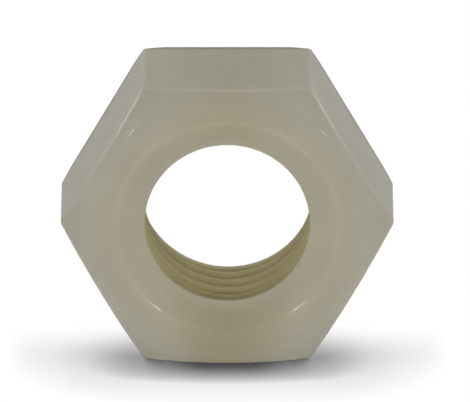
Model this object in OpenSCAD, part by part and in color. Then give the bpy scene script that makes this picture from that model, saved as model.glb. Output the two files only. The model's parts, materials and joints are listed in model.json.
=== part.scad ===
// A moulded plastic hex nut for a 30 mm coarse thread, standing on one of its six flats.
// The thread runs along Y. The front face looks along -Y: it has the wide chamfer and the
// countersink. The rear face keeps nearly the full hexagon. The origin is the middle of the
// flat that the nut stands on.

/* [Hexagon] */
// Width across two opposite flats
across_flats = 46; // [42:0.5:60]
// Length of the nut along its thread
nut_height = 22; // [16:0.5:40]
// Radius on the six long corners between the flats
corner_radius = 0.8; // [0.2:0.1:3]

/* [Front chamfer] */
// How far inside the flats the chamfer reaches on the front face
front_chamfer_inset = 1.2; // [0.2:0.1:3]
// Angle of the chamfer, measured from the front face
front_chamfer_angle = 30; // [15:1:60]
// Radius where the front face rolls over into the chamfer
front_edge_radius = 1; // [0.2:0.1:1.6]

/* [Rear chamfer] */
// How deep the rear chamfer bites into each sharp corner, measured along the radius
rear_corner_bite = 1.6; // [0.4:0.1:3]
// Angle of the rear chamfer, measured from the rear face
rear_chamfer_angle = 30; // [15:1:60]

/* [Bore] */
// Diameter of the bore, which is the crest diameter of the thread
bore_d = 26.2; // [20:0.1:30]
// Width of the sloping ring that leads into the bore at the front, measured along the radius
countersink_width = 4.6; // [1:0.1:6]
// Included angle of the front countersink
countersink_angle = 120; // [80:5:150]
// How much the rear mouth is wider than the bore, measured along the radius
lead_in_width = 1; // [0.2:0.1:3]
// Length of the slow taper behind the rear mouth
lead_in_length = 6; // [1:0.5:10]

/* [Hidden] */
$fn = 96;

// Overlap that lets a cut pass cleanly through a face
cut_through = 1;
sides = 6;
turn = 360 / sides;

flat_r = across_flats / 2;
// Sharp corner of the hexagon, and the centre of the radius that rounds it
sharp_corner_r = flat_r / cos(turn / 2);
corner_centre_r = (flat_r - corner_radius) / cos(turn / 2);

// The two chamfer cones start from these circles on the faces
front_ring_r = flat_r - front_chamfer_inset;
rear_ring_r = sharp_corner_r - rear_corner_bite;
// Outside every corner, where both cones are closed off
envelope_r = sharp_corner_r + cut_through;
front_cone_drop = (envelope_r - front_ring_r) * tan(front_chamfer_angle);
rear_cone_drop = (envelope_r - rear_ring_r) * tan(rear_chamfer_angle);

// The rolled edge touches the front face and the front cone this far from where they would meet
rolled_edge_reach = front_edge_radius * tan(front_chamfer_angle / 2);
rolled_edge_centre = [front_ring_r - rolled_edge_reach, nut_height - front_edge_radius];

bore_r = bore_d / 2;
countersink_r = bore_r + countersink_width;
countersink_depth = countersink_width / tan(countersink_angle / 2);
rear_mouth_r = bore_r + lead_in_width;

// Outline of the hexagon, with corners to the left and right and flats at top and bottom.
// The straight sides end where the corner radii begin.
module hexagon_outline() {
    polygon([
        for (corner = [0 : sides - 1], side = [-1, 1])
            let (
                middle = corner * turn,
                touch = middle + side * turn / 2
            )
            corner_centre_r * [cos(middle), sin(middle)] + corner_radius * [cos(touch), sin(touch)]
    ]);
    for (corner = [0 : sides - 1]) {
        rotate(corner * turn)
            translate([corner_centre_r, 0])
                circle(r = corner_radius);
    }
}

// Half section of the round body that the hexagon is cut from, with both chamfer cones.
// Z runs from the rear face, at 0, to the front face.
module chamfer_section() {
    polygon([
        [0, 0],
        [rear_ring_r, 0],
        [envelope_r, rear_cone_drop],
        [envelope_r, nut_height - front_cone_drop],
        [
            front_ring_r + rolled_edge_reach * cos(front_chamfer_angle),
            nut_height - rolled_edge_reach * sin(front_chamfer_angle)
        ],
        [front_ring_r - rolled_edge_reach, nut_height],
        [0, nut_height]
    ]);
    translate(rolled_edge_centre)
        circle(r = front_edge_radius);
}

// The hexagonal bar with its two chamfers. Each cone meets a flat in a shallow arch.
module chamfered_bar() {
    intersection() {
        linear_extrude(height = nut_height)
            hexagon_outline();
        rotate_extrude()
            chamfer_section();
    }
}

// Half section of the hole: countersink, straight crest wall, and the slow taper at the rear
module hole_section() {
    slope_r = countersink_width / countersink_depth;
    taper_r = lead_in_width / lead_in_length;
    polygon([
        [0, -cut_through],
        [rear_mouth_r + cut_through * taper_r, -cut_through],
        [bore_r, lead_in_length],
        [bore_r, nut_height - countersink_depth],
        [countersink_r + cut_through * slope_r, nut_height + cut_through],
        [0, nut_height + cut_through]
    ]);
}

module hex_nut() {
    color([0.80, 0.78, 0.68])
        translate([0, nut_height / 2, flat_r])
            rotate([90, 0, 0])
                difference() {
                    chamfered_bar();
                    rotate_extrude()
                        hole_section();
                }
}

hex_nut();
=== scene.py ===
# %% [markdown]
# # A moulded plastic hex nut
# The nut is one piece of natural nylon, injection moulded, for a thick screw. It stands on one
# of its six flats. Its shape and size come from a solid that is already made, and this lesson
# adds what the solid leaves out: the cut thread, the rolled edges, the milky plastic, and the
# white table and soft light of a product picture. All lengths are in metres, in the solid's
# own frame: X across two corners, Y along the thread, Z up from the flat it stands on.

# %% Load the solid nut
import json
from math import atan2, cos, pi, radians, sin, tan, tau

import bpy
import numpy as np
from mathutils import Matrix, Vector


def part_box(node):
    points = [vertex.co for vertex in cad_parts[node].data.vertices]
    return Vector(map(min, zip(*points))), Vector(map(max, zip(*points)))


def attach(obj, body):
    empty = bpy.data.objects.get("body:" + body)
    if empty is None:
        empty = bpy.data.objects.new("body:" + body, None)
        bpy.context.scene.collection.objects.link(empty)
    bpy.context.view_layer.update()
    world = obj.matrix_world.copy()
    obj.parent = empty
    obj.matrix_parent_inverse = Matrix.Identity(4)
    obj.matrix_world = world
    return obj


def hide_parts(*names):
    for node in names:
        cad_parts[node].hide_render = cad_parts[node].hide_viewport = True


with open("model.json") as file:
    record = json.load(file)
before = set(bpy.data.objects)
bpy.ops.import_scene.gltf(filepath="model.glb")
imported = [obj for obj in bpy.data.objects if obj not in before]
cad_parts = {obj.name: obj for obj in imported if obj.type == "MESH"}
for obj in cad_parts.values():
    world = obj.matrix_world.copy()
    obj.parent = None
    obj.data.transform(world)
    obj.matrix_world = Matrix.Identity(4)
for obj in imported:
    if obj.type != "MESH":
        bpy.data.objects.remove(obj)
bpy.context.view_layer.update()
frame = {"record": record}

# %% [markdown]
# ## Sizes
# Everything is worked out from the solid: its box gives the width across the flats and the
# length, and its record gives the bore. What the box can't tell, such as the chamfers, is
# written here as named sizes. The corner radius follows from how far the rounded corners
# stay inside the sharp hexagon.

# %% Sizes of the nut
MM = 0.001
box_low, box_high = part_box("hex_nut")
bore_facts = next(m for m in frame["record"]["mounts"] if m["name"] == "thread")
across_flats = box_high.z - box_low.z
nut_length = box_high.y - box_low.y
axis_z = (box_high.z + box_low.z) / 2
crest_r = bore_facts["dims"]["r_mm"] * MM

SIDES = 6
turn = tau / SIDES
flat_r = across_flats / 2
sharp_corner_r = flat_r / cos(turn / 2)
corner_radius = (sharp_corner_r - box_high.x) / (1 / cos(turn / 2) - 1)
corner_centre_r = (flat_r - corner_radius) / cos(turn / 2)
print("across flats", round(across_flats / MM, 2), "mm")
print("corner radius", round(corner_radius / MM, 2), "mm")

# %% [markdown]
# ## Camera
# The picture was taken from a little above and from far away, so that parallel edges stay
# parallel. A long lens at three metres does the same. The nut isn't quite in the middle of the
# picture: the pixel where its centre falls, and the pixels that a millimetre covers, give the
# point to aim at and the lens. No shift is needed, so the camera can be moved round freely.

# %% Camera at the photograph's angle
PICTURE_SIZE = (470, 402)
NUT_CENTRE_PIXEL = (227.2, 205.6)
PIXELS_PER_MM = 6.28
CAMERA_ELEVATION = radians(19.6)
CAMERA_DISTANCE = 3.0
SENSOR_WIDTH = 36.0
FARTHEST_SEEN = 50

pixel = MM / PIXELS_PER_MM
view_up = Vector((0, sin(CAMERA_ELEVATION), cos(CAMERA_ELEVATION)))
view_back = Vector((0, -cos(CAMERA_ELEVATION), sin(CAMERA_ELEVATION)))
aim = (
    Vector((0, 0, axis_z))
    + Vector((1, 0, 0)) * (PICTURE_SIZE[0] / 2 - NUT_CENTRE_PIXEL[0]) * pixel
    + view_up * (NUT_CENTRE_PIXEL[1] - PICTURE_SIZE[1] / 2) * pixel
)
camera_data = bpy.data.cameras.new("camera")
camera_data.sensor_width = SENSOR_WIDTH
camera_data.lens = SENSOR_WIDTH * CAMERA_DISTANCE / (PICTURE_SIZE[0] * pixel)
camera_data.clip_end = FARTHEST_SEEN
camera = bpy.data.objects.new("camera", camera_data)
camera.location = aim + view_back * CAMERA_DISTANCE
camera.rotation_euler = (pi / 2 - CAMERA_ELEVATION, 0, 0)
bpy.context.scene.collection.objects.link(camera)
bpy.context.scene.camera = camera
print("lens", round(camera_data.lens), "mm")

# %% [markdown]
# ## Writing materials as sums
# A Blender material is a graph of nodes. A graph is hard to read in code, so a socket is
# wrapped in a small class: adding, multiplying or raising a wrapped socket adds the Math node
# that does it. Every other node comes from one call, which takes the node's type, then its
# settings, then what goes into its sockets.

# %% Wire and Bench
class Wire:
    """An output socket. A sum on it adds the Math node that works it out."""

    def __init__(self, bench, socket):
        self.bench = bench
        self.socket = socket

    def sibling(self, name):
        """Another output of the same node."""
        return Wire(self.bench, find_socket(self.socket.node.outputs, name))

    def sum(self, operation, first, second):
        return self.bench.node("ShaderNodeMath", {"operation": operation}, {0: first, 1: second})

    def __add__(self, other):
        return self.sum("ADD", self, other)

    def __sub__(self, other):
        return self.sum("SUBTRACT", self, other)

    def __rsub__(self, other):
        return self.sum("SUBTRACT", other, self)

    def __mul__(self, other):
        return self.sum("MULTIPLY", self, other)

    def __pow__(self, other):
        return self.sum("POWER", self, other)

    def at_least(self, other):
        return self.sum("MAXIMUM", self, other)

    __radd__ = __add__
    __rmul__ = __mul__


def find_socket(sockets, key):
    """A socket by its number, its name, or its identifier where several share a name."""
    if isinstance(key, int):
        return sockets[key]
    return next(s for s in sockets if key in (s.identifier, s.name))


class Bench:
    """The node graph of one material or of the world, with nothing on it at first."""

    def __init__(self, owner):
        owner.use_nodes = True
        self.nodes = owner.node_tree.nodes
        self.links = owner.node_tree.links
        self.nodes.clear()

    def node(self, kind, settings=None, sockets=None, output=0):
        """Adds a node. Its settings come first, then the values or wires of its sockets."""
        made = self.nodes.new(kind)
        for name, value in (settings or {}).items():
            setattr(made, name, value)
        for key, value in (sockets or {}).items():
            socket = find_socket(made.inputs, key)
            if isinstance(value, Wire):
                self.links.new(value.socket, socket)
            else:
                socket.default_value = value
        return Wire(self, find_socket(made.outputs, output)) if made.outputs else None

    def mix(self, share, first, second):
        """The first colour where share is 0, the second where it is 1."""
        return self.node(
            "ShaderNodeMix",
            {"data_type": "RGBA"},
            {"Factor_Float": share, "A_Color": first, "B_Color": second},
            "Result_Color",
        )

    def ramp(self, value, start, end):
        """0 where value is start, 1 where it is end, with a soft S between them."""
        return self.node(
            "ShaderNodeMapRange",
            {"interpolation_type": "SMOOTHSTEP"},
            {"Value": value, "From Min": start, "From Max": end},
        )

    def looked_at(self):
        """1 for a ray that looks, straight or by reflection, and 0 for one that gathers light."""
        ray = self.node("ShaderNodeLightPath", output="Is Camera Ray")
        looking = ray.at_least(ray.sibling("Is Glossy Ray"))
        return looking.at_least(ray.sibling("Is Transmission Ray"))


def colour(red, green, blue):
    """A colour as it is read on a screen, from 0 to 255, turned into the light it stands for.
    The numbers in it are those of the standard screen curve."""
    shares = [channel / 255 for channel in (red, green, blue)]
    light = [s / 12.92 if s <= 0.04045 else ((s + 0.055) / 1.055) ** 2.4 for s in shares]
    return (*light, 1.0)


WHITE = (1.0, 1.0, 1.0, 1.0)
BLACK = (0.0, 0.0, 0.0, 1.0)
print("node classes ready")

# %% [markdown]
# ## Table
# The nut stands on a white table that has no visible edge. One square, far wider than the
# picture, is enough for it.

# %% Table top
TABLE_REACH = 1.5

table_mesh = bpy.data.meshes.new("table")
table_mesh.from_pydata(
    [(x * TABLE_REACH, y * TABLE_REACH, 0) for x, y in ((-1, -1), (1, -1), (1, 1), (-1, 1))],
    [],
    [(0, 1, 2, 3)],
)
table = bpy.data.objects.new("table", table_mesh)
bpy.context.scene.collection.objects.link(table)
print("table", TABLE_REACH * 2, "m wide")

# %% [markdown]
# ## White of the table and shadow of the nut
# Straight from the camera the table is a plain white, dimmed only by the nut's own shadow; every
# other ray meets an ordinary pale surface that sends light back up. The light of the picture
# comes over the nut from behind it, so the shadow is thrown forwards, and it is deepest where
# the nut touches.
#
# An Ambient Occlusion node tells how open a point is, looking one way and as far as a reach. Two
# of them draw the shadow. One looks straight back with a short reach, for the dark contact. The
# other looks back and towards the middle with a longer reach, for the soft tails at both sides.
# Away from the middle the first counts less and the second more, as the picture shows. Their
# sum stays a plain sum, because a power of a grainy measure would come out too bright. A point
# on the table looks level, so half of its view is below the table and always open. Only the
# other half counts.

# %% White table
NEAR_REACH, NEAR_SHARE = 9.1 * MM, 0.655
LESS_ASIDE = 0.14
MIDDLE_FROM, MIDDLE_TO = 3 * MM, 10 * MM
WIDE_REACH, WIDE_SHARE = 19 * MM, 0.37
MORE_ASIDE = 0.07
ASIDE_FROM, ASIDE_TO = 12 * MM, 17 * MM
ASIDE_UNTIL, ASIDE_GONE = 23 * MM, 28 * MM
WIDE_BACKWARDS = radians(38)
THROWN_FROM, THROWN_TO = 9 * MM, -9 * MM
DARKEST = 0.05
SHARE_ABOVE_TABLE = 0.5
OCCLUSION_SAMPLES = 16
TABLE_COLOUR = (0.85, 0.85, 0.85, 1)

table_finish = bpy.data.materials.new("white_table")
bench = Bench(table_finish)
place = bench.node("ShaderNodeTexCoord", output="Object")
x = bench.node("ShaderNodeSeparateXYZ", sockets={"Vector": place})
left_or_right = bench.node("ShaderNodeMath", {"operation": "SIGN"}, {0: x})


def shut_in(reach, aside, back):
    """How much of what a point sees level, that way and within reach, the nut shuts out."""
    way = bench.node(
        "ShaderNodeCombineXYZ", sockets={"X": left_or_right * -aside, "Y": back, "Z": 0.0}
    )
    openness = bench.node(
        "ShaderNodeAmbientOcclusion",
        {"samples": OCCLUSION_SAMPLES},
        {"Distance": reach, "Normal": way},
        "AO",
    )
    return (1 - openness) * (1 / SHARE_ABOVE_TABLE)


near_shadow = shut_in(NEAR_REACH, 0.0, 1.0)
off_middle = (x * x) ** 0.5
near_share = NEAR_SHARE - bench.ramp(off_middle, MIDDLE_FROM, MIDDLE_TO) * LESS_ASIDE
wide_shadow = shut_in(WIDE_REACH, cos(WIDE_BACKWARDS), sin(WIDE_BACKWARDS))
aside = bench.ramp(off_middle, ASIDE_FROM, ASIDE_TO)
aside = aside * bench.ramp(off_middle, ASIDE_GONE, ASIDE_UNTIL)
wide_share = WIDE_SHARE + aside * MORE_ASIDE
thrown = bench.ramp(x.sibling("Y"), THROWN_FROM, THROWN_TO)
darkness = (near_shadow * near_share + wide_shadow * wide_share) * thrown
light_left = (1 - darkness).at_least(DARKEST)
seen = bench.node("ShaderNodeEmission", sockets={"Color": bench.mix(light_left, BLACK, WHITE)})
lit = bench.node("ShaderNodeBsdfDiffuse", sockets={"Color": TABLE_COLOUR})
table_surface = bench.node(
    "ShaderNodeMixShader", sockets={0: bench.looked_at(), 1: lit, 2: seen}
)
bench.node("ShaderNodeOutputMaterial", sockets={"Surface": table_surface})
table_mesh.materials.append(table_finish)
print("table finish:", len(bench.nodes), "nodes")

# %% [markdown]
# ## Light
# A product picture of this kind is lit by two wide soft boxes, one over the object from behind
# and one in front of it. Four small boxes stand beside and before it: the rolled edges mirror
# them as thin bright lines. The wide boxes are kept out of reflections, which would otherwise
# draw broad bands on the satin faces. A lamp's power is worked out from the level that it gives:
# at level 1 a white card that faces the lamp looks white. That power grows with the square of
# the distance. The levels were found by rendering each lamp alone and fitting the sum to the
# tones of the picture. The world is white for the camera and for reflections, and gives
# everything else a dim fill.

# %% Soft boxes and sky
def soft_box(name, azimuth, elevation, distance, width, height, level, mirrored):
    """An area lamp aimed at the nut. Azimuth 0 is in front of it and 90 is on its right.
    A mirrored lamp can be seen in shiny surfaces."""
    around, rise = radians(azimuth), radians(elevation)
    towards = Vector((sin(around) * cos(rise), -cos(around) * cos(rise), sin(rise)))
    data = bpy.data.lights.new(name, "AREA")
    data.shape = "RECTANGLE"
    data.size, data.size_y = width, height
    data.energy = level * (pi * distance) ** 2
    lamp = bpy.data.objects.new(name, data)
    lamp.location = Vector((0, 0, axis_z)) + towards * distance
    lamp.rotation_euler = towards.to_track_quat("Z", "Y").to_euler()
    lamp.visible_camera = False
    lamp.visible_glossy = mirrored
    bpy.context.scene.collection.objects.link(lamp)


OVER, SIDE, CORNER, FRONT = 0.52, 0.07, 0.055, 0.95
BOXES = [
    # name, azimuth, elevation, distance, width, height, level, mirrored
    ("box_over", 180, 75, 1.0, 1.2, 0.5, OVER, False),
    ("box_left", -97, 23, 1.0, 0.1, 0.16, SIDE, True),
    ("box_right", 97, 23, 1.0, 0.1, 0.16, SIDE, True),
    ("box_front_left", -27, 11, 1.0, 0.08, 0.08, CORNER, True),
    ("box_front_right", 27, 11, 1.0, 0.08, 0.08, CORNER, True),
    ("box_front", 0, 6, 1.2, 1.6, 0.5, FRONT, False),
]
for facts in BOXES:
    soft_box(*facts)

FILL = 0.25
world = bpy.data.worlds.new("studio")
bpy.context.scene.world = world
bench = Bench(world)
sky = bench.node(
    "ShaderNodeBackground",
    sockets={"Color": WHITE, "Strength": bench.looked_at() * (1 - FILL) + FILL},
)
bench.node("ShaderNodeOutputWorld", sockets={"Surface": sky})
bpy.context.scene.view_settings.view_transform = "Standard"
print("lamps:", [lamp.name for lamp in bpy.data.lights])

# %% [markdown]
# ## How the nut is made
# The nut is a section, a closed loop, that travels once round the axis. Lathes turn such
# loops into round parts; here the outside of the loop moves in and out as the hexagon asks, and
# the inside moves as the thread asks. So the mesh is a grid: columns are directions round the
# axis, rows are points along the section. A grid has clean four-sided faces and no seams, which
# a cut made with booleans would not have. This cell places the columns, close together
# where they cross a rounded corner.

# %% Directions round the axis
ARC_COLUMNS = 8
FLAT_COLUMNS = 40
FLAT_STARTS = 1.25  # in touch angles from the corner's middle
touch_angle = atan2(
    corner_radius * sin(turn / 2), corner_centre_r + corner_radius * cos(turn / 2)
)
corner_part = np.linspace(-touch_angle, touch_angle, ARC_COLUMNS + 1)
flat_start = FLAT_STARTS * touch_angle
flat_part = np.linspace(flat_start, turn - flat_start, FLAT_COLUMNS - 1)
sector = np.concatenate([corner_part, flat_part])
angles = np.concatenate([sector + number * turn for number in range(SIDES)])
print("columns:", len(angles))


def outline_radius(angle):
    """How far the rounded hexagon's outline is from the axis in each direction."""
    off_corner = (angle + turn / 2) % turn - turn / 2
    on_flat = flat_r / np.cos(turn / 2 - np.abs(off_corner))
    aside = corner_centre_r * np.sin(off_corner)
    rounded = np.sqrt(np.maximum(corner_radius**2 - aside**2, 0))
    on_corner = corner_centre_r * np.cos(off_corner) + rounded
    return np.where(np.abs(off_corner) < touch_angle, on_corner, on_flat)


# %% [markdown]
# ## Thread
# The screw that fits has a coarse thread of 30 mm, with 3.5 mm from turn to turn and sides at
# 60 degrees. The nut holds its mirror image: flat crests at the bore, as wide as a quarter of
# the pitch, and grooves that reach the screw's full radius. The groove is a formula of the
# distance along the axis, moved on by one pitch in each turn round it, and that alone makes
# the helix. The thread in the picture looks soft, so a soft maximum rounds each kink so much
# that crests and roots run into each other. What is left is a wave, a little more than half as
# high as the sharp thread, with crests slightly outside the bore. Short of the countersink it
# fades out into a plain land.

# %% Groove of the thread
COUNTERSINK_WIDTH = 4.6 * MM
COUNTERSINK_ANGLE = radians(120)
countersink_r = crest_r + COUNTERSINK_WIDTH
countersink_depth = COUNTERSINK_WIDTH / tan(COUNTERSINK_ANGLE / 2)
countersink_start = nut_length - countersink_depth
PITCH = 3.5 * MM
CREST_HALF_WIDTH = PITCH / 8
ROOT_R = 15 * MM
FLANK_ANGLE = radians(30)
THREAD_SOFTNESS = 3.0 * MM
FIRST_CREST = 2.475 * MM
PLAIN_LAND = 0.7 * MM
FADE_LENGTH = 1.2 * MM


def soft_max(a, b, softness):
    """The larger of two lengths, with the kink where they meet rounded off."""
    overlap = np.maximum(softness - np.abs(a - b), 0) / softness
    return np.maximum(a, b) + overlap**2 * softness / 4


def thread_radius(angle, height):
    """Radius of the threaded wall. Height is measured from the rear face."""
    along = (height - FIRST_CREST - PITCH * angle / tau) % PITCH
    off_crest = np.minimum(along, PITCH - along)
    flank = crest_r + (off_crest - CREST_HALF_WIDTH) / tan(FLANK_ANGLE)
    cut = soft_max(flank, np.full_like(flank, crest_r), THREAD_SOFTNESS)
    groove = -soft_max(-cut, np.full_like(cut, -ROOT_R), THREAD_SOFTNESS) - crest_r
    past_land = (countersink_start - PLAIN_LAND - height) / FADE_LENGTH
    share = np.clip(past_land, 0, 1)
    return crest_r + groove * share * share * (3 - 2 * share)


one_turn = thread_radius(0.0, nut_length / 2 + np.linspace(0, PITCH, 100))
print("turns of thread:", round(nut_length / PITCH, 2))
print("groove depth", round(np.ptp(one_turn) / MM, 2), "mm")
print("crests outside the bore by", round((one_turn.min() - crest_r) / MM, 2), "mm")

# %% [markdown]
# ## Hole
# The hole is the thread, opened out at the front by a wide countersink and at the rear by
# a slow taper. Each of them is a radius for every height, and the hole is wherever the widest
# one is, so one more soft maximum joins all three. The thread has faded out where the
# countersink begins, so the edge between them is an even ring.

# %% Wall of the hole
TAPER_WIDTH = 1 * MM
TAPER_LENGTH = 6 * MM
WALL_SOFTNESS = 0.25 * MM
REAR_MOUTH_EDGE = 0.3 * MM


def hole_radius(angle, height):
    """Radius of the hole's wall at each height from the rear face."""
    cone = crest_r + (height - countersink_start) * tan(COUNTERSINK_ANGLE / 2)
    taper = crest_r + (TAPER_LENGTH - height) * TAPER_WIDTH / TAPER_LENGTH
    wall = soft_max(thread_radius(angle, height), cone, WALL_SOFTNESS)
    wall = soft_max(wall, taper, WALL_SOFTNESS)
    into_edge = np.maximum(REAR_MOUTH_EDGE - height, 0)
    return wall + REAR_MOUTH_EDGE - np.sqrt(REAR_MOUTH_EDGE**2 - into_edge**2)


print("countersink", round(2 * countersink_r / MM, 2), "mm wide")
print("countersink depth", round(countersink_depth / MM, 2), "mm")

# %% [markdown]
# ## Rolled edges
# No edge of a moulded part is sharp. A rolled edge is an arc that touches both sides of
# a corner of the section. The arc is kept short where a side is short, so that two arcs never
# run into each other. The edge between the flats and the front chamfer catches the light of
# the side lamps as a thin bright line, and the edge of the countersink that of the front ones.

# %% Arc between two sides of the section
ROOM_SHARE = 0.48


def rolled_edge(before, corner, after, radius, steps):
    """Points, for every column, on the arc that rolls one side of the section into the next."""
    to_before, to_after = before - corner, after - corner
    length_before = np.hypot(*to_before)
    length_after = np.hypot(*to_after)
    to_before, to_after = to_before / length_before, to_after / length_after
    half_angle = np.arccos(np.clip(np.sum(to_before * to_after, axis=0), -1, 1)) / 2
    room = ROOM_SHARE * np.minimum(length_before, length_after)
    radius = np.minimum(radius, room * np.tan(half_angle))
    centre_way = (to_before + to_after) / np.hypot(*(to_before + to_after))
    centre = corner + centre_way * radius / np.sin(half_angle)
    start = (corner + to_before * radius / np.tan(half_angle) - centre) / radius
    end = (corner + to_after * radius / np.tan(half_angle) - centre) / radius
    swept = pi - 2 * half_angle
    arc = []
    for share in np.linspace(0, 1, steps + 1):
        way = start * np.sin((1 - share) * swept) + end * np.sin(share * swept)
        arc.append(centre + radius * way / np.sin(swept))
    return arc


def straight(start, end, shares):
    """Points on a straight side of the section, at these shares of its length."""
    return [start + (end - start) * share for share in shares]


square_corner = [np.array([[0.0], [9.0]]), np.array([[0.0], [0.0]]), np.array([[9.0], [0.0]])]
tried = rolled_edge(*square_corner, 1.0, 2)
print("middle of a radius of 1 in a square corner:", tried[1].ravel().round(3))

# %% [markdown]
# ## Outside of the section
# Going outwards from the rear mouth, the section follows the rear face, the rear chamfer, the
# flat, the front chamfer and the front face. Where the hexagon is narrow the rear chamfer
# misses it, and only a small broken edge is left. This cell finds where two neighbouring sides
# of the section would meet if no edge were rolled, in every column.

# %% Corners of the section in every column
REAR_BITE = 1.6 * MM
REAR_CHAMFER_ANGLE = radians(30)
REAR_BROKEN_EDGE = 0.25 * MM
REAR_RING_SOFTNESS = 0.3 * MM
FRONT_INSET = 1.2 * MM
FRONT_CHAMFER_ANGLE = radians(30)

reach = outline_radius(angles)
every = np.ones_like(reach)
rear_ring = -soft_max(
    -(sharp_corner_r - REAR_BITE) * every, -(reach - REAR_BROKEN_EDGE), REAR_RING_SOFTNESS
)
front_ring = (flat_r - FRONT_INSET) * every
rear_drop = (reach - rear_ring) * tan(REAR_CHAMFER_ANGLE)
front_drop = (reach - front_ring) * tan(FRONT_CHAMFER_ANGLE)
rear_mouth = hole_radius(angles, np.zeros_like(reach))

at_rear_mouth = np.array([rear_mouth, 0 * every])
at_rear_ring = np.array([rear_ring, 0 * every])
at_rear_rim = np.array([reach, rear_drop])
at_front_rim = np.array([reach, nut_length - front_drop])
at_front_ring = np.array([front_ring, nut_length * every])
at_countersink = np.array([countersink_r * every, nut_length * every])
at_hole = np.array([crest_r * every, countersink_start * every])
print("front chamfer drops by", (front_drop.min() / MM).round(2), "mm at the flats")
print("and by", (front_drop.max() / MM).round(2), "mm at the corners")

# %% [markdown]
# ## Rolled edges of this nut
# The rear edges are the crispest. The edge of a flat is rolled more towards the corners, where
# the chamfer is wider. Front face and chamfer meet at so small an angle that the picture shows
# no edge between them, so a large radius lets one run into the other.

# %% Arcs of the section
REAR_EDGE_RADIUS = 0.3 * MM
FLAT_EDGE_RADIUS = 0.6 * MM
CORNER_EDGE_RADIUS = 1.2 * MM
FRONT_EDGE_RADIUS = 8 * MM
COUNTERSINK_EDGE_RADIUS = 2.5 * MM
REAR_RING_STEPS, REAR_RIM_STEPS = 3, 4
FRONT_STEPS = 8
COUNTERSINK_STEPS = 5

rear_ring_arc = rolled_edge(
    at_rear_mouth, at_rear_ring, at_rear_rim, REAR_EDGE_RADIUS, REAR_RING_STEPS
)
rear_rim_arc = rolled_edge(
    at_rear_ring, at_rear_rim, at_front_rim, REAR_EDGE_RADIUS, REAR_RIM_STEPS
)
towards_corner = ((reach - flat_r) / (reach.max() - flat_r)) ** 2
front_rim_radius = FLAT_EDGE_RADIUS + (CORNER_EDGE_RADIUS - FLAT_EDGE_RADIUS) * towards_corner
front_rim_arc = rolled_edge(
    at_rear_rim, at_front_rim, at_front_ring, front_rim_radius, FRONT_STEPS
)
front_ring_arc = rolled_edge(
    at_front_rim, at_front_ring, at_countersink, FRONT_EDGE_RADIUS, FRONT_STEPS
)
countersink_arc = rolled_edge(
    at_front_ring, at_countersink, at_hole, COUNTERSINK_EDGE_RADIUS, COUNTERSINK_STEPS
)
rim_sizes = front_rim_radius.min() / MM, front_rim_radius.max() / MM
print("front rim is rolled by %.1f mm at the flats and %.1f mm at the corners" % rim_sizes)

# %% [markdown]
# ## Polish
# The bright lines show on two upper edges and on two short arcs of the countersink only. So each
# column has a share of polish, which the finish reads later. It depends on the steepness, the
# angle above the level line through the axis, which is the same on the left and on the right.

# %% Polish of the rolled edges
RIM_POLISHED_AT, RING_POLISHED_AT = radians(54), radians(-46)
POLISH_SPREAD = radians(26)
RING_POLISH = 0.5
PLAIN = 0 * every
steepness = np.arctan2(np.sin(angles), np.abs(np.cos(angles)))


def polish_at(middle):
    """1 for the columns at this steepness, falling to 0 on both sides of it."""
    return np.clip(1 - np.abs(steepness - middle) / POLISH_SPREAD, 0, 1)


rim_polish = np.where(steepness > turn, 0, polish_at(RIM_POLISHED_AT))
ring_polish = RING_POLISH * polish_at(RING_POLISHED_AT)
print("columns with polish:", np.count_nonzero(rim_polish), "and", np.count_nonzero(ring_polish))

# %% [markdown]
# ## Rows of the section
# The section is laid out as rows of points: straight sides and the arcs between them, and then
# the hole from front to rear. The rows sit close together next to each rolled edge: smooth
# shading then stays flat on the flat parts.

# %% Rows of the section
NEAR_BOTH_ENDS = (0.03, 0.1, 0.25, 0.5, 0.75, 0.9, 0.97)
ALONG_REAR_CHAMFER = (0.3, 0.7)
ALONG_FLAT = (0.02, 0.08, 0.2, 0.35, 0.5, 0.65, 0.8, 0.92, 0.98)
ALONG_CHAMFER = (0.1, 0.3, 0.5, 0.7, 0.9)
THREAD_ROWS = 150
COUNTERSINK_ROWS = 26
MOUTH_ROWS = 6
outside_parts = [
    (straight(at_rear_mouth, rear_ring_arc[0], NEAR_BOTH_ENDS), PLAIN),
    (rear_ring_arc, PLAIN),
    (straight(rear_ring_arc[-1], rear_rim_arc[0], ALONG_REAR_CHAMFER), PLAIN),
    (rear_rim_arc, PLAIN),
    (straight(rear_rim_arc[-1], front_rim_arc[0], ALONG_FLAT), PLAIN),
    (front_rim_arc, rim_polish),
    (straight(front_rim_arc[-1], front_ring_arc[0], ALONG_CHAMFER), PLAIN),
    (front_ring_arc, PLAIN),
    (straight(front_ring_arc[-1], countersink_arc[0], NEAR_BOTH_ENDS), PLAIN),
    (countersink_arc, ring_polish),
]
outside = [row for rows, polish in outside_parts for row in rows]

cone_length = countersink_arc[-1][1][0] - countersink_start
down_the_cone = np.linspace(1, 0, COUNTERSINK_ROWS, endpoint=False)[1:]
round_the_mouth = np.linspace(0, pi / 2, MOUTH_ROWS)[1:]
cut_heights = np.concatenate([
    countersink_start + down_the_cone * cone_length,
    np.linspace(countersink_start, REAR_MOUTH_EDGE, THREAD_ROWS),
    REAR_MOUTH_EDGE * (1 - np.sin(round_the_mouth)),
])
inside = [
    np.array([hole_radius(angles, height * every), height * every]) for height in cut_heights
]
section = np.array(outside + inside)
polished = [polish for rows, polish in outside_parts for row in rows]
polished += [PLAIN] * len(inside)
print("rows:", len(section), "faces:", len(section) * len(angles))

# %% [markdown]
# ## Mesh of the nut
# Every row is turned round the axis into points, and neighbouring rows and columns are joined
# by four-sided faces. The last row joins the first and the last column joins the first, so the
# skin closes on itself and has no open edge. The corners of each face are named in the order
# that makes it look outwards. The volume checks that: it is negative if the faces look inwards.

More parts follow.
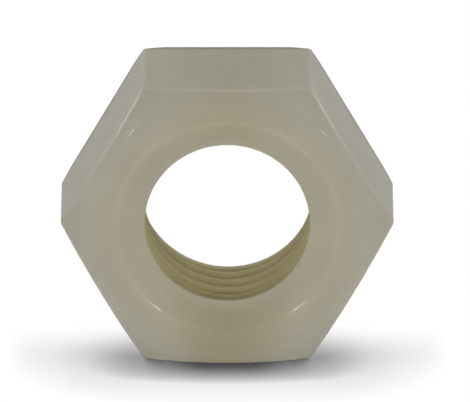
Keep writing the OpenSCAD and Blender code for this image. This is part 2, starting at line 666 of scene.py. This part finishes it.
# %% The nut
radii, heights = section[:, 0, :], section[:, 1, :]
points = np.stack(
    [
        radii * np.cos(angles),
        box_high.y - heights,
        axis_z + radii * np.sin(angles),
    ],
    axis=-1,
)
row_count, column_count = radii.shape
numbers = np.arange(row_count * column_count).reshape(row_count, column_count)
next_row = np.roll(numbers, -1, axis=0)
next_column = np.roll(numbers, -1, axis=1)
both = np.roll(next_row, -1, axis=1)
faces = np.stack([numbers, next_column, both, next_row], axis=-1).reshape(-1, 4)

nut_mesh = bpy.data.meshes.new("nylon_nut")
nut_mesh.from_pydata(points.reshape(-1, 3).tolist(), [], faces.tolist())
nut_mesh.shade_smooth()
polish_values = np.array(polished, dtype=np.float32).ravel()
nut_mesh.attributes.new("polished", "FLOAT", "POINT").data.foreach_set("value", polish_values)
nut = bpy.data.objects.new("nylon_nut", nut_mesh)
bpy.context.scene.collection.objects.link(nut)
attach(nut, "root")
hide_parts("hex_nut")

first, second, third, fourth = points.reshape(-1, 3)[faces].transpose(1, 0, 2)
across = third - first
area_ways = np.cross(second - first, across) + np.cross(across, fourth - first)
volume = np.sum(first * area_ways) / 6
print("triangles:", 2 * len(faces), "volume:", round(volume / MM**3), "cubic mm")

# %% [markdown]
# ## Natural nylon
# Uncoloured nylon is milky: light goes in, scatters among fine crystals and comes out a few
# millimetres away. Several tones below are painted light and shade that stand in for it. The
# finish needs to know where on the nut a point is: how far off the axis, how far above it, and
# how deep behind the front face. Two sizes of soft random spots keep it from looking even.

# %% Places on the nut
CLOUD_SIZE, CLOUD_DETAIL, CLOUD_TINT = 7 * MM, 3.0, 0.12
GRAIN_SIZE, GRAIN_DETAIL, GRAIN_TINT = 0.9 * MM, 2.0, 0.05

nylon = bpy.data.materials.new("natural_nylon")
bench = Bench(nylon)
place = bench.node("ShaderNodeTexCoord", output="Object")
x = bench.node("ShaderNodeSeparateXYZ", sockets={"Vector": place})
above_axis = x.sibling("Z") - axis_z
off_axis = (x * x + above_axis * above_axis) ** 0.5
depth = x.sibling("Y") - box_low.y


def noise(size, detail):
    """Soft random spots of this size, above 0 where they are light and below it where dark."""
    sockets = {"Vector": place, "Scale": 1 / size, "Detail": detail}
    return bench.node("ShaderNodeTexNoise", sockets=sockets) - 0.5


clouds = noise(CLOUD_SIZE, CLOUD_DETAIL)
grain = noise(GRAIN_SIZE, GRAIN_DETAIL)
print("clouds", round(CLOUD_SIZE / MM, 1), "mm, grain", round(GRAIN_SIZE / MM, 1), "mm")

# %% [markdown]
# ## Tones
# The outer rim looks grey-white, and the face round the hole is warmer. The bore is olive and
# lighter than the body, as painted light, and gets browner and darker towards the rear, as
# painted shade. The flats have a darker tone of their own, painted shade, since they look up at
# the lamp. Painted shade makes the rear edges the darkest. A honey colour is multiplied in above
# and below the hole as painted shade, and more of it below.

# %% Tones of the nylon
NYLON_BODY = colour(162, 157, 139)
NYLON_PALE = colour(159, 156, 144)
NYLON_BORE_PAINTED_LIGHT = colour(187, 178, 135)
NYLON_DEEP_PAINTED_SHADE = colour(154, 146, 115)
NYLON_FLAT_PAINTED_SHADE = colour(154, 151, 137)
PALE_FROM, PALE_TO = 17 * MM, 25 * MM
BORE_FROM, BORE_TO = 15.1 * MM, 14.6 * MM
BORE_STARTS_BACK, BORE_PURE_BACK = 0.97 * countersink_depth, 1.3 * countersink_depth
DEEP_FROM, DEEP_TO = 8 * MM, 21 * MM
FLAT_FROM, FLAT_TO = 0.96 * flat_r, flat_r
FLAT_STARTS_BACK, FLAT_PURE_BACK = 0.7 * MM, 3 * MM
REAR_EDGE_DEPTH, REAR_EDGE_SHADE = 1.7 * MM, 0.6
REAR_RIM_FROM, REAR_RIM_TO = 0.9 * flat_r, 0.96 * flat_r
REAR_RIM_DEPTH, REAR_RIM_EDGE, REAR_RIM_SHADE = 2.0 * MM, 0.4 * MM, 0.33
HONEY_PAINTED_SHADE = (0.87, 0.84, 0.73, 1)
HONEY_HALF_WIDTH, HONEY_WALL = 12 * MM, 2 * MM
HONEY_TOP, HONEY_BOTTOM, HONEY_ABOVE = 0.0, -0.3 * crest_r, 0.5

in_bore = bench.ramp(off_axis, BORE_FROM, BORE_TO)
in_bore = in_bore * bench.ramp(depth, BORE_STARTS_BACK, BORE_PURE_BACK)
tone = bench.mix(bench.ramp(off_axis, PALE_FROM, PALE_TO), NYLON_BODY, NYLON_PALE)
# Painted light: the bore's lifted olive tone, turning to painted shade, browner and darker,
# towards the rear.
bore_painted_tone = bench.mix(bench.ramp(depth, DEEP_FROM, DEEP_TO), NYLON_BORE_PAINTED_LIGHT, NYLON_DEEP_PAINTED_SHADE)
rear_mouth_r = crest_r + TAPER_WIDTH
# Painted shade: a dark band on the bore wall just inside the rear mouth.
rear_edge_painted_shade = bench.ramp(depth, nut_length - REAR_EDGE_DEPTH, nut_length) * bench.ramp(
    off_axis, rear_mouth_r + REAR_MOUTH_EDGE, rear_mouth_r + REAR_MOUTH_EDGE / 5
)
bore_painted_tone = bench.mix(rear_edge_painted_shade * REAR_EDGE_SHADE, bore_painted_tone, BLACK)
# Painted shade: a darker tone on the flats, which look up at the lamp.
on_flat = bench.ramp(off_axis, FLAT_FROM, FLAT_TO)
on_flat = on_flat * bench.ramp(depth, FLAT_STARTS_BACK, FLAT_PURE_BACK)
tone = bench.mix(on_flat, tone, NYLON_FLAT_PAINTED_SHADE)
# Painted shade: a dark line along the rear rim of the flats; the coat is thinned there too.
rear_rim_painted_shade = (
    bench.ramp(off_axis, REAR_RIM_FROM, REAR_RIM_TO)
    * bench.ramp(depth, nut_length - REAR_RIM_DEPTH, nut_length - REAR_RIM_EDGE)
    * bench.ramp(depth, nut_length, nut_length - REAR_RIM_EDGE / 2)
)
tone = bench.mix(rear_rim_painted_shade * REAR_RIM_SHADE, tone, BLACK)
tone = bench.mix(in_bore, tone, bore_painted_tone)
# Painted shade: a warm honey darkening near the middle, above and below the hole, more below.
near_middle = bench.ramp((x * x) ** 0.5, HONEY_HALF_WIDTH, 0.0)
in_wall = bench.ramp(off_axis, crest_r, crest_r + HONEY_WALL) * (1 - in_bore)
below = bench.ramp(above_axis, HONEY_TOP, HONEY_BOTTOM) * (1 - HONEY_ABOVE) + HONEY_ABOVE
tone = bench.node(
    "ShaderNodeMix",
    {"data_type": "RGBA", "blend_type": "MULTIPLY"},
    {"Factor_Float": near_middle * in_wall * below, "A_Color": tone, "B_Color": HONEY_PAINTED_SHADE},
    "Result_Color",
)
print("tones mixed with", len(bench.nodes), "nodes so far")

# %% [markdown]
# ## Lighter and darker places
# Painted light lifts the thread grooves, standing in for light that comes through the thinner
# wall under them. Painted shade darkens the countersink a touch above the hole, and painted
# light lifts it below. These and the random spots scale the tone up and down.

# %% Brightness of the nylon
GROOVE_FROM, GROOVE_TO = crest_r + 0.4 * MM, crest_r + 1.4 * MM
GROOVE_PAINTED_LIGHT = 0.25
RING_FROM, RING_TO = 18.2 * MM, 17 * MM
RING_GONE_BACK = 2 * countersink_depth
RING_LOW, RING_HIGH = -8 * MM, 16 * MM
RING_BELOW, RING_ABOVE = 0.07, -0.08

# Painted light: the thread grooves are lifted.
in_groove = bench.ramp(off_axis, GROOVE_FROM, GROOVE_TO) * in_bore
in_ring = (
    bench.ramp(off_axis, RING_FROM, RING_TO)
    * bench.ramp(depth, RING_GONE_BACK, countersink_depth)
    * (1 - in_bore)
)
# Painted shade above the hole and painted light below it, on the countersink.
ring_height = bench.ramp(above_axis, RING_LOW, RING_HIGH)
ring_painted_light_and_shade = in_ring * (ring_height * (RING_ABOVE - RING_BELOW) + RING_BELOW)
spots = clouds * CLOUD_TINT + grain * GRAIN_TINT
brightness = 1 + spots + in_groove * GROOVE_PAINTED_LIGHT + ring_painted_light_and_shade
shaded = bench.node(
    "ShaderNodeVectorMath", {"operation": "SCALE"}, {0: tone, "Scale": brightness}
)
print("groove glow", GROOVE_PAINTED_LIGHT, "ring from", RING_BELOW, "to", RING_ABOVE)

# %% [markdown]
# ## Skin
# Subsurface scattering gives the soft glow. Blue light travels the shortest way in nylon, which
# makes thin edges a little warmer. The shine is a thin coat. It is weak all over and stronger
# on the polished edges, and the bore has hardly any. The plain specular layer is off, because
# at a flat angle it would mirror so much of the white room that the flats would turn white. The
# grain gives the skin a very shallow unevenness, as a mould leaves it.

# %% Skin of the nylon
GRAIN_BUMP, GRAIN_HEIGHT = 0.15, 0.05 * MM
SATIN_ROUGHNESS, CLOUD_ROUGHNESS = 0.24, 0.08
POLISH_COAT, SKIN_COAT, LEAST_COAT = 0.8, 0.15, 0.02
COAT_ROUGHNESS = 0.1
NYLON_IOR, COAT_IOR = 1.53, 1.5
SCATTER_REACH, SCATTER_BY_COLOUR = 2.0 * MM, (1.0, 0.95, 0.8)

polish = bench.node("ShaderNodeAttribute", {"attribute_name": "polished"}, output="Fac")
coat = polish * POLISH_COAT + (1 - in_bore.at_least(rear_rim_painted_shade)) * SKIN_COAT + LEAST_COAT
moulded_skin = bench.node(
    "ShaderNodeBump",
    sockets={"Height": grain, "Strength": GRAIN_BUMP, "Distance": GRAIN_HEIGHT},
    output="Normal",
)
nylon_surface = bench.node(
    "ShaderNodeBsdfPrincipled",
    sockets={
        "Base Color": shaded,
        "Roughness": SATIN_ROUGHNESS + clouds * CLOUD_ROUGHNESS,
        "IOR": NYLON_IOR,
        "Specular IOR Level": 0.0,
        "Coat Weight": coat,
        "Coat Roughness": COAT_ROUGHNESS,
        "Coat IOR": COAT_IOR,
        "Subsurface Weight": 1.0,
        "Subsurface Radius": SCATTER_BY_COLOUR,
        "Subsurface Scale": SCATTER_REACH,
        "Normal": moulded_skin,
    },
)
bench.node("ShaderNodeOutputMaterial", sockets={"Surface": nylon_surface})
nut_mesh.materials.append(nylon)
print("materials:", [material.name for material in bpy.data.materials])
